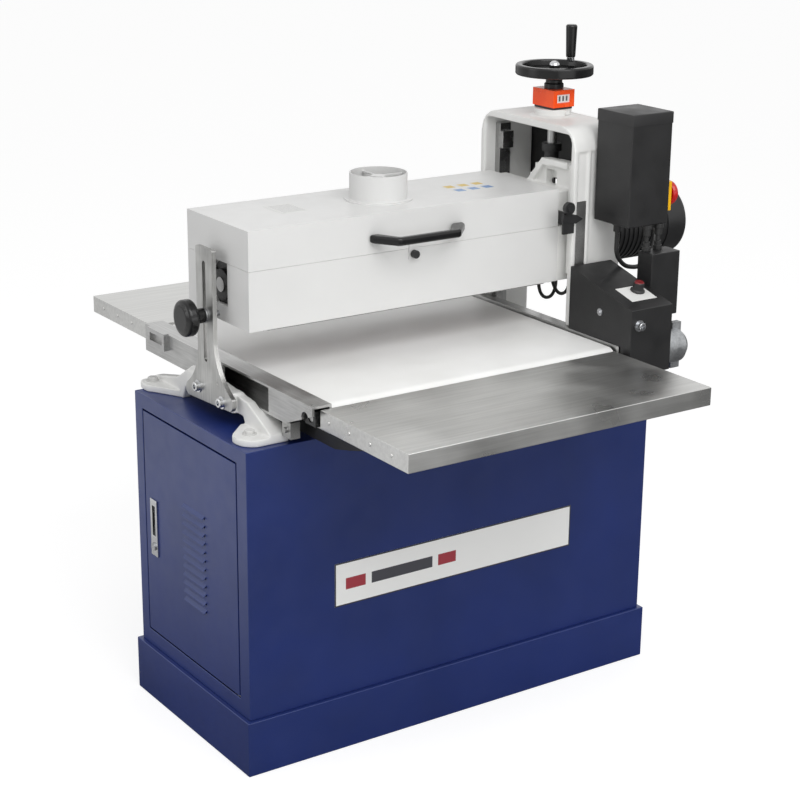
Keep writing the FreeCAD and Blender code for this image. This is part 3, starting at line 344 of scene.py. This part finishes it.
def cast(node, name, skin, grain, share):
    """A cast copy of a CAD node: remeshed, its edges worn soft, then thinned."""
    piece = merged_copy(node, name, skin)
    for kind, settings in (("REMESH", {"mode": "VOXEL", "voxel_size": grain * MM}),
                           ("SMOOTH", {"factor": 0.5, "iterations": 5}),
                           ("DECIMATE", {"ratio": share})):
        step = piece.modifiers.new(kind.lower(), kind)
        for key, value in settings.items():
            setattr(step, key, value)
        bpy.ops.object.modifier_apply(modifier=step.name)
    bpy.ops.object.shade_smooth_by_angle(angle=math.radians(50))
    settle(piece, node)


cast("left_base", "left_base_casting", casting_enamel, 1.6, 0.35)
cast("column", "column_casting", casting_enamel, 2.4, 0.30)
cast("carriage", "carriage_casting", casting_enamel, 2.0, 0.30)

# Outboard bracket: 8 mm rolled steel plate, sawn, slotted and linished, left bare.
# The linishing belt ran up the plate, so its marks stand upright.
bracket_steel = worked("linished_steel_plate", "#C0C0BE", "#A4A4A2", 0.36, (3, 3, 60), 0.012, cloud=45)
bracket_low, bracket_high = corners("outboard_bracket")
softened("outboard_bracket", "outboard_bracket_plate", bracket_steel, 0.9,
         rim(bracket_low, bracket_high, 1), turns=2)
# Ground guide ways: planed steel with fine upright marks.
ground_steel = worked("ground_steel", "#B9B9B8", "#9A9A9A", 0.26, (2, 2, 40), 0.01)
softened("guide_ways", "guide_ways_ground", ground_steel, 0.8)
# Black powder coat on small steel parts: fine, even texture that kills shine.
black_powder_coat = coated("black_powder_coat", "#1B1B1C", "#151516", 0.45, 1.6, 0.05, cloud=60)
softened("column_back_plate", "column_back_plate_sheet", black_powder_coat, 0.8)


# ------------------------------------------------------- bolts of the castings
# Hexagon bolts on pressed washers hold the castings down and were painted over
# with them; the bracket has two chrome socket screws on wide washers.
def ring_of(place, axis, radius, sides):
    """Starts a fastener: a flat disc on a face, left in edit mode and selected."""
    lean = Vector((0, 0, 1)).rotation_difference(Vector(axis)).to_euler()
    bpy.ops.object.select_all(action="DESELECT")
    bpy.ops.mesh.primitive_circle_add(vertices=sides, radius=radius * MM, fill_type="NGON",
                                      location=[c * MM for c in place], rotation=lean)
    bpy.ops.object.transform_apply(location=True, rotation=True, scale=True)
    bpy.ops.object.mode_set(mode="EDIT")
    bpy.ops.mesh.select_mode(type="FACE")
    bpy.ops.mesh.select_all(action="SELECT")
    return bpy.context.object


def push(axis, far):
    """Extrudes the selected face along an axis, by millimetres."""
    bpy.ops.mesh.extrude_region_move(TRANSFORM_OT_translate={"value": [c * far * MM for c in axis]})


def bolt(name, place, axis, head, high, socket, skin):
    """A bolt on its washer: hexagon head, or a round head with a hexagon socket."""
    washer = ring_of(place, axis, head + 3, 32)
    push(axis, 1.2)
    bpy.ops.mesh.inset(thickness=0.4 * MM, depth=0.0)
    push(axis, 0.4)
    bpy.ops.object.mode_set(mode="OBJECT")
    top = ring_of(Vector(place) + Vector(axis) * 1.5, axis, head, 24 if socket else 6)
    push(axis, high - 1.0)
    bpy.ops.mesh.inset(thickness=0.9 * MM, depth=0.0)
    bpy.ops.transform.translate(value=[c * 0.8 * MM for c in axis])
    if socket:
        bpy.ops.mesh.inset(thickness=head * 0.36 * MM, depth=0.0)
        push(axis, -high * 0.6)
    bpy.ops.object.mode_set(mode="OBJECT")
    top.select_set(True)
    washer.select_set(True)
    bpy.context.view_layer.objects.active = washer
    bpy.ops.object.join()
    bpy.ops.object.mode_set(mode="EDIT")
    bpy.ops.mesh.select_all(action="SELECT")
    bpy.ops.mesh.normals_make_consistent(inside=False)
    bpy.ops.object.mode_set(mode="OBJECT")
    bpy.ops.object.shade_smooth_by_angle(angle=math.radians(28))
    washer.name = washer.data.name = name
    washer.data.materials.append(skin)
    return washer


# Enamel over a bolt head: as the castings, a little thicker and glossier.
bolt_enamel = coated("bolt_enamel", "#D4D4D2", "#C4C4C2", 0.34, 2.5, 0.05, cloud=20)
FLANGE = 12  # thickness of the cast feet and of the column's flange
foot_top = corners("column")[0][2] + FLANGE
left_feet = ((-388, -146), (-388, 193))
column_feet = ((310, -152), (310, 152), (393, -152), (393, 152))
bracket_holes = ((28, 618), (-53, 611))
joined = []
for k, (x, y) in enumerate(left_feet + column_feet):
    joined.append(bolt("foot_bolt_%d" % k, (x, y, foot_top), (0, 0, 1), 9, 6, False, bolt_enamel))
for k, (y, z) in enumerate(bracket_holes):
    joined.append(bolt("bracket_screw_%d" % k, (bracket_low[0], y, z), (-1, 0, 0), 8, 7, True,
                       chrome_plate))
for piece in joined:
    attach(piece, "frame")
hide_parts("machine_bolts")

# ------------------------------------------------------------------ conveyor
# Two black beams and four pressed arms carry folded steel rails, the slider
# pan, two ground steel rollers and an endless belt.
dress(black_powder_coat, "bed_supports")
# Cold-rolled steel strip, folded and left oiled: grey, with marks along its length.
rolled_steel = worked("cold_rolled_steel", "#C4C4C3", "#A9A9A8", 0.36, (3, 70, 3), 0.012, cloud=60)
softened("side_rails", "conveyor_rails", rolled_steel, 0.7)
# Bearing blocks: grey iron, machined, black with oil.
oiled_iron = worked("oiled_cast_iron", "#5A5A5A", "#3A3A3A", 0.48, (3, 3, 3), 0.08, cloud=9)
softened("roller_bearings", "roller_bearing_blocks", oiled_iron, 0.6)
softened("conveyor_bed", "slider_pan", rolled_steel, 0.8)
for roller in ("drive_roller", "idler_roller"):
    softened(roller, roller + "_turned", ground_steel, 0.5)
# Two-ply belt with a white polyurethane face, wiped clean: matt, hardly textured.
belt_face = coated("white_polyurethane_belt", "#F4F4F3", "#EDEDEB", 0.5, 2.0, 0.03, cloud=140)
softened("conveyor_belt", "conveyor_belt_loop", belt_face, 0.5)

# Infeed and outfeed tables: folded stainless trays, brushed across the feed and
# riveted at the left edge. Rolling and wiping leave long cloudy reflections.
brushed_stainless = worked("brushed_stainless_steel", "#D6D6D4", "#C2C2C0", 0.36, (150, 6, 6), 0.004,
                           cloud=150, spread=0.3)
RIVET_HEAD = 1.2  # how far the rivets stand out of the left edge
for table in ("infeed_table", "outfeed_table"):
    table_low, table_high = corners(table)
    softened(table, table + "_tray", brushed_stainless, 1.4,
             rim([table_low[0] + RIVET_HEAD] + table_low[1:], table_high))

# ---------------------------------------------------------------- the head
# A fabricated steel box, open below, with flange bearings for the drum. The
# cover is a folded tray on a hinge; both are sprayed pale grey enamel.
sheet_enamel = coated("sheet_enamel", "#DADAD9", "#D5D5D4", 0.36, 5.0, 0.03, cloud=220)
head_low, head_high = corners("head_housing")
softened("head_housing", "head_box", sheet_enamel, 2.2, rim(head_low, head_high))
softened("drum_bearings", "drum_flange_bearings", oiled_iron, 0.8)
# Turned aluminium drum, and shafts of ground bar.
turned_aluminium = worked("turned_aluminium", "#C4C5C6", "#A6A7A8", 0.30, (1.5, 30, 30), 0.02)
softened("drum", "sanding_drum", turned_aluminium, 0.6)
dress(ground_steel, "drum_shaft", "motor_rotor")
dress(oiled_iron, "shaft_coupling")

# Abrasive wrap: aluminium oxide grit on cloth, closed round the drum.
abrasive_cloth, tree, shader, place = finish("coated_abrasive_cloth", 0.0, 0.9)
grit = add(tree, "ShaderNodeTexVoronoi", {"Scale": 1000 / 1.2}, {"Vector": place})
warm = add(tree, "ShaderNodeMixRGB", {"Color1": ink("#4A2A1E"), "Color2": ink("#6E4331")},
           {"Fac": grit.outputs["Distance"]})
rough_grit = add(tree, "ShaderNodeBump", {"Strength": 0.8, "Distance": 0.3 * MM},
                 {"Height": grit.outputs["Distance"]})
tree.links.new(warm.outputs[0], shader.inputs["Base Color"])
tree.links.new(rough_grit.outputs[0], shader.inputs["Normal"])
softened("abrasive_wrap", "abrasive_wrap_cloth", abrasive_cloth, 0.2)

for roller in ("press_roller_front", "press_roller_rear"):
    softened(roller, roller + "_turned", ground_steel, 0.5)
# Black acetal and nylon mouldings: low sheen, with a faint spark texture.
black_nylon = coated("moulded_black_nylon", "#242425", "#1D1D1E", 0.45, 1.2, 0.04, cloud=30)
softened("press_carriers", "press_roller_blocks", black_nylon, 0.8)

# Dust cover, its piano hinge, hose collar, handle and catch.
SEAM_BELOW_HANDLE = 19.6
COVER_SETBACK = 0.4  # the cover ends this much short of the box at the column
cover_low = [head_low[0], head_low[1], corners("cover_handle")[0][2] - SEAM_BELOW_HANDLE]
cover_high = [head_high[0] - COVER_SETBACK, head_high[1], corners("dust_cover")[1][2]]
softened("dust_cover", "dust_cover_tray", sheet_enamel, 2.2, rim(cover_low, cover_high))
dress(zinc_plate, "cover_hinge")
softened("dust_port", "hose_collar", sheet_enamel, 0.5)
# Glossy black phenolic: pressed hard and polished in the mould.
black_phenolic = coated("black_phenolic", "#0F0F10", "#0B0B0C", 0.24, 6.0, 0.02, cloud=40, IOR=1.45)
softened("cover_handle", "cover_handle_moulded", black_phenolic, 4.2, turns=4, sharp=50)
softened("cover_catch", "cover_catch_knob", black_nylon, 0.8)


# ------------------------------------------------------------ printed films
# Thin plates and polyester stickers: a ruled grey notice and six small square
# marks on the cover, a badge on the cabinet, a strip on the column and a speed
# label on the control box. None of them carries words.
def patch(tree, place, low, high):
    """One inside a box given in millimetres, nothing outside it."""
    centre = [(a + b) / 2 * MM for a, b in zip(low, high)]
    half = [max(b - a, 0.001) / 2 * MM for a, b in zip(low, high)]
    moved = add(tree, "ShaderNodeVectorMath", {"operation": "SUBTRACT", 1: centre}, {0: place})
    sized = add(tree, "ShaderNodeVectorMath", {"operation": "DIVIDE", 1: half}, {0: moved.outputs[0]})
    plain = add(tree, "ShaderNodeVectorMath", {"operation": "ABSOLUTE"}, {0: sized.outputs[0]})
    axes = add(tree, "ShaderNodeSeparateXYZ", None, {0: plain.outputs[0]})
    wider = add(tree, "ShaderNodeMath", {"operation": "MAXIMUM"},
                {0: axes.outputs[0], 1: axes.outputs[1]})
    widest = add(tree, "ShaderNodeMath", {"operation": "MAXIMUM"},
                 {0: wider.outputs[0], 1: axes.outputs[2]})
    inside = add(tree, "ShaderNodeMath", {"operation": "LESS_THAN", 1: 1.0}, {0: widest.outputs[0]})
    return inside.outputs[0]


def printed(name, ground, rough, marks):
    """A printed film: plain boxes of ink, each (colour, low, high), over a ground."""
    skin, tree, shader, place = finish(name, 0.0, rough)
    smear = add(tree, "ShaderNodeTexNoise", {"Scale": 1000 / 25, "Detail": 2}, {"Vector": place})
    worn = [0.94 * c for c in ink(ground)[:3]] + [1]
    shade = add(tree, "ShaderNodeMixRGB", {"Color1": worn, "Color2": ink(ground)},
                {"Fac": smear.outputs[0]})
    for colour, low, high in marks:
        shade = add(tree, "ShaderNodeMixRGB", {"Color2": ink(colour)},
                    {"Fac": patch(tree, place, low, high), "Color1": shade.outputs[0]})
    tree.links.new(shade.outputs[0], shader.inputs["Base Color"])
    return skin


# Each mark is a box of ink that runs out to FAR, so the film cuts through it.
FAR = 2000
lines = [("#A8A8A8", (-240, 38 - 7 * k, 0), (-198, 40 - 7 * k, FAR)) for k in range(8)]
marks = []
for k in range(3):
    for y, colour in ((-30, "#5E86B8"), (2, "#C9A93A")):
        marks.append((colour, (107 + 30 * k, y + 3, 0), (125 + 30 * k, y + 21, FAR)))
cover_film = printed("printed_cover_film", "#DADAD8", 0.35, lines + marks)
dress(cover_film, "cover_labels")

plates = softened("face_plates", "printed_plates", rolled_steel, 0.2)
CABINET_TOP, BOX_FOOT, BOX_FRONT = 550, 700, -200
badge, label = [], []
for face in plates.data.polygons:
    middle = face.center / MM
    if middle.z < CABINET_TOP:
        badge.append(face.index)
    elif middle.z > BOX_FOOT and middle.y < BOX_FRONT:
        label.append(face.index)
spots = [plates.data.vertices[k].co / MM for face in badge
         for k in plates.data.polygons[face].vertices]
left, right = min(at.x for at in spots), max(at.x for at in spots)
foot, top = min(at.z for at in spots), max(at.z for at in spots)
BORDER = 2.5
badge_print = [("#3C3C42", (left, -FAR, foot), (right, FAR, top)),
               ("#F1F1EF", (left + BORDER, -FAR, foot + BORDER), (right - BORDER, FAR, top - BORDER))]
for colour, start, stop in (("#A33A44", 22, 62), ("#4A4A50", 74, 200), ("#A33A44", 212, 250)):
    badge_print.append((colour, (left + start, -FAR, foot + (top - foot) * 0.36),
                        (left + stop, FAR, foot + (top - foot) * 0.62)))
plates.data.materials.append(printed("printed_badge_film", "#F1F1EF", 0.3, badge_print))
plates.data.materials.append(printed("printed_speed_label", "#E6E6E4", 0.35, []))
for faces, film in ((badge, 1), (label, 2)):
    for face in faces:
        plates.data.polygons[face].material_index = film

# ------------------------------------------------- head clamp and depth pointer
# Stud through the bracket's slot with a turned phenolic hand knob, and a black
# pointer arm that reads on the column's strip.
dress(zinc_plate, "lock_stud")
softened("lock_knob", "clamp_hand_knob", black_phenolic, 0.8)
softened("depth_pointer", "depth_pointer_arm", black_nylon, 0.5)

# ------------------------------------------------------------ height adjuster
# Lead screw, black nut, thrust collar, position indicator and dished handwheel
# with a silver dome nut and a turning grip.
dress(ground_steel, "lead_screw")
softened("lead_nut", "lead_nut_turned", black_powder_coat, 0.8)
softened("screw_collar", "thrust_collar", casting_enamel, 1.0)
softened("indicator_base", "indicator_foot", black_nylon, 0.6)
# Glossy orange ABS case with three counting wheels behind a pale window, which
# is sunk into the side facing the operator.
orange_abs = coated("orange_abs", "#FF5A20", "#FA5018", 0.25, 5.0, 0.01, cloud=25)
case = softened("position_indicator", "position_indicator_case", orange_abs, 2.0)
case_low, case_high = corners("position_indicator")
middle = (case_low[0] + case_high[0]) / 2
WINDOW_SUNK, WINDOW_HALF, WHEEL_HALF, WHEEL_EDGE = 2.5, 14, 2, 11
wheels = [("#5A5D60", (middle + step - WHEEL_HALF, -FAR, case_low[2] + WHEEL_EDGE),
           (middle + step + WHEEL_HALF, FAR, case_high[2] - WHEEL_EDGE)) for step in (-8, 0, 8)]
case.data.materials.append(printed("indicator_window_print", "#ECECEA", 0.3, wheels))
for face in case.data.polygons:
    at = face.center / MM
    sunk = abs(at.y - case_low[1] - WINDOW_SUNK) < 0.4
    if face.normal.y < -0.9 and sunk and abs(at.x - middle) < WINDOW_HALF:
        face.material_index = 1
softened("handwheel", "handwheel_dished", black_phenolic, 0.5)
softened("wheel_fittings", "wheel_nut_and_grip_pin", chrome_plate, 0.4)
softened("crank_grip", "crank_grip_turned", black_phenolic, 0.4)

# --------------------------------------------------------------- electrics
# Sheet-steel control box and switch box in black powder coat, with a red-capped
# speed knob, glands, looms, motor and gear motor.
box_low, box_high = corners("control_box")
hood_edge = rim(box_low, box_high, 1)
softened("control_box", "control_box_hood", black_powder_coat, 1.6,
         lambda at: at[2] > box_low[2] + 2 and hood_edge(at))
knob = softened("speed_knob", "speed_knob_turned", black_nylon, 0.5)
knob.data.materials.append(coated("dark_red_nylon", "#7E2226", "#6E1C20", 0.4, 2.0, 0.02, cloud=20))
RED_CAP = 4.5
cap_from = corners("speed_knob")[1][2] - RED_CAP
for face in knob.data.polygons:
    face.material_index = int(face.center.z / MM > cap_from)
side_screw_at = (box_low[0], -231, 711)
front_gland_at = (286, box_low[1], 703)
side_screw = bolt("control_box_screw", side_screw_at, (-1, 0, 0), 3.6, 3, False, zinc_plate)
front_gland = bolt("control_box_gland", front_gland_at, (0, -1, 0), 7, 9, True, zinc_plate)
for piece in (side_screw, front_gland):
    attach(piece, "frame")
# Die-cast gearbox and motor body: bare aluminium with a dull, sandy skin.
die_cast = worked("die_cast_aluminium", "#B4B6B8", "#8F9193", 0.45, (4, 4, 4), 0.06, cloud=20)
softened("gear_motor", "gear_motor_body", die_cast, 1.2)
softened("terminal_box", "terminal_box_case", black_powder_coat, 1.5)
CASE_BACK = -142  # behind this the node is the pad welded to the column
switch_low, switch_high = corners("switch_box")
switch_high[1] = CASE_BACK
softened("switch_box", "switch_box_case", black_powder_coat, 2.0, rim(switch_low, switch_high))

# Folded lid over the top of the switch box: it stands 1 mm proud of the case and
# laps over it, and its lower edge is the seam that shows all round.
LID_PROUD, LID_LAP, LID_FOLD, LID_SHEET = 1, 20, 2, 0.8
lid_wide, lid_deep = [switch_high[k] - switch_low[k] + 2 * LID_PROUD for k in (0, 1)]
lid_at = [(switch_low[0] + switch_high[0]) / 2, (switch_low[1] + switch_high[1]) / 2,
          switch_high[2] + LID_PROUD]
bpy.ops.object.select_all(action="DESELECT")
bpy.ops.mesh.primitive_plane_add(size=1, location=[c * MM for c in lid_at])
lid = bpy.context.object
lid.name = lid.data.name = "switch_box_lid"
lid.scale = (lid_wide * MM, lid_deep * MM, 1)
bpy.ops.object.transform_apply(location=True, rotation=True, scale=True)
bpy.ops.object.mode_set(mode="EDIT")
bpy.ops.mesh.select_mode(type="FACE")
bpy.ops.mesh.select_all(action="SELECT")
push((0, 0, -1), LID_LAP)
bpy.ops.mesh.delete(type="ONLY_FACE")
bpy.ops.mesh.select_all(action="SELECT")
bpy.ops.mesh.normals_make_consistent(inside=False)
bpy.ops.mesh.select_mode(type="EDGE")
bpy.ops.mesh.select_all(action="DESELECT")
bpy.ops.mesh.edges_select_sharp(sharpness=math.radians(30))
bpy.ops.mesh.bevel(offset=LID_FOLD * MM, segments=3, profile=0.5, clamp_overlap=True)
bpy.ops.object.mode_set(mode="OBJECT")
sheet = lid.modifiers.new("sheet", "SOLIDIFY")
sheet.thickness, sheet.offset = LID_SHEET * MM, -1
bpy.ops.object.modifier_apply(modifier=sheet.name)
bpy.ops.object.shade_smooth_by_angle(angle=SMOOTH_BELOW)
lid.data.materials.append(black_powder_coat)
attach(lid, "frame")

# Yellow and red stop button: glossy ABS.
yellow_abs = coated("yellow_abs", "#F2B90C", "#E8AF08", 0.28, 5.0, 0.01, cloud=25)
red_abs = coated("red_abs", "#C4161A", "#B81216", 0.25, 5.0, 0.01, cloud=25)
softened("estop_base", "stop_button_collar", yellow_abs, 1.5)
softened("estop_button", "stop_button_mushroom", red_abs, 0.6)
# Cable sheath: soft black vinyl.
black_vinyl = coated("black_vinyl_sheath", "#262626", "#1E1E1E", 0.5, 3.0, 0.02, cloud=30)
softened("cable_loom", "looms_and_glands", black_vinyl, 0.5)

# The motor's lead is fixed at the switch box and at the motor; here it is a
# smoothed copy of the CAD node, baked in place.
lead = merged_copy("motor_cable", "motor_lead", black_vinyl)
bpy.ops.object.shade_smooth_by_angle(angle=math.radians(50))
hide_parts("motor_cable")
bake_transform(lead)


# Two short looms hang in loops below the carriage, each held at both ends.
def loom(name, points, radius=3.2):
    """A round cable through points in millimetres, carried by the head."""
    path = bpy.data.curves.new(name, "CURVE")
    path.dimensions, path.bevel_depth, path.bevel_resolution = "3D", radius * MM, 4
    path.use_fill_caps = True
    line = path.splines.new("NURBS")
    line.points.add(len(points) - 1)
    for point, at in zip(line.points, points):
        point.co = [c * MM for c in at] + [1]
    line.order_u, line.use_endpoint_u = 3, True
    piece = bpy.data.objects.new(name, path)
    bpy.context.scene.collection.objects.link(piece)
    bpy.ops.object.select_all(action="DESELECT")
    bpy.context.view_layer.objects.active = piece
    piece.select_set(True)
    bpy.ops.object.convert(target="MESH")
    piece = bpy.context.object
    piece.data.materials.clear()
    piece.data.materials.append(black_vinyl)
    bpy.ops.object.shade_smooth()
    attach(piece, "head")


left_hang = [(312, -6, 757), (306, -8, 722), (311, -6, 692), (328, -2, 675), (350, 2, 676),
             (362, 6, 700), (354, 8, 728), (350, 8, 757)]
right_hang = [(332, -16, 757), (330, -16, 726), (338, -14, 700), (356, -10, 680), (376, -8, 682),
              (384, -6, 706), (378, -4, 757)]
loom("carriage_loom_left", left_hang)
loom("carriage_loom_right", right_hang)
softened("motor", "motor_finned_case", black_powder_coat, 0.8)
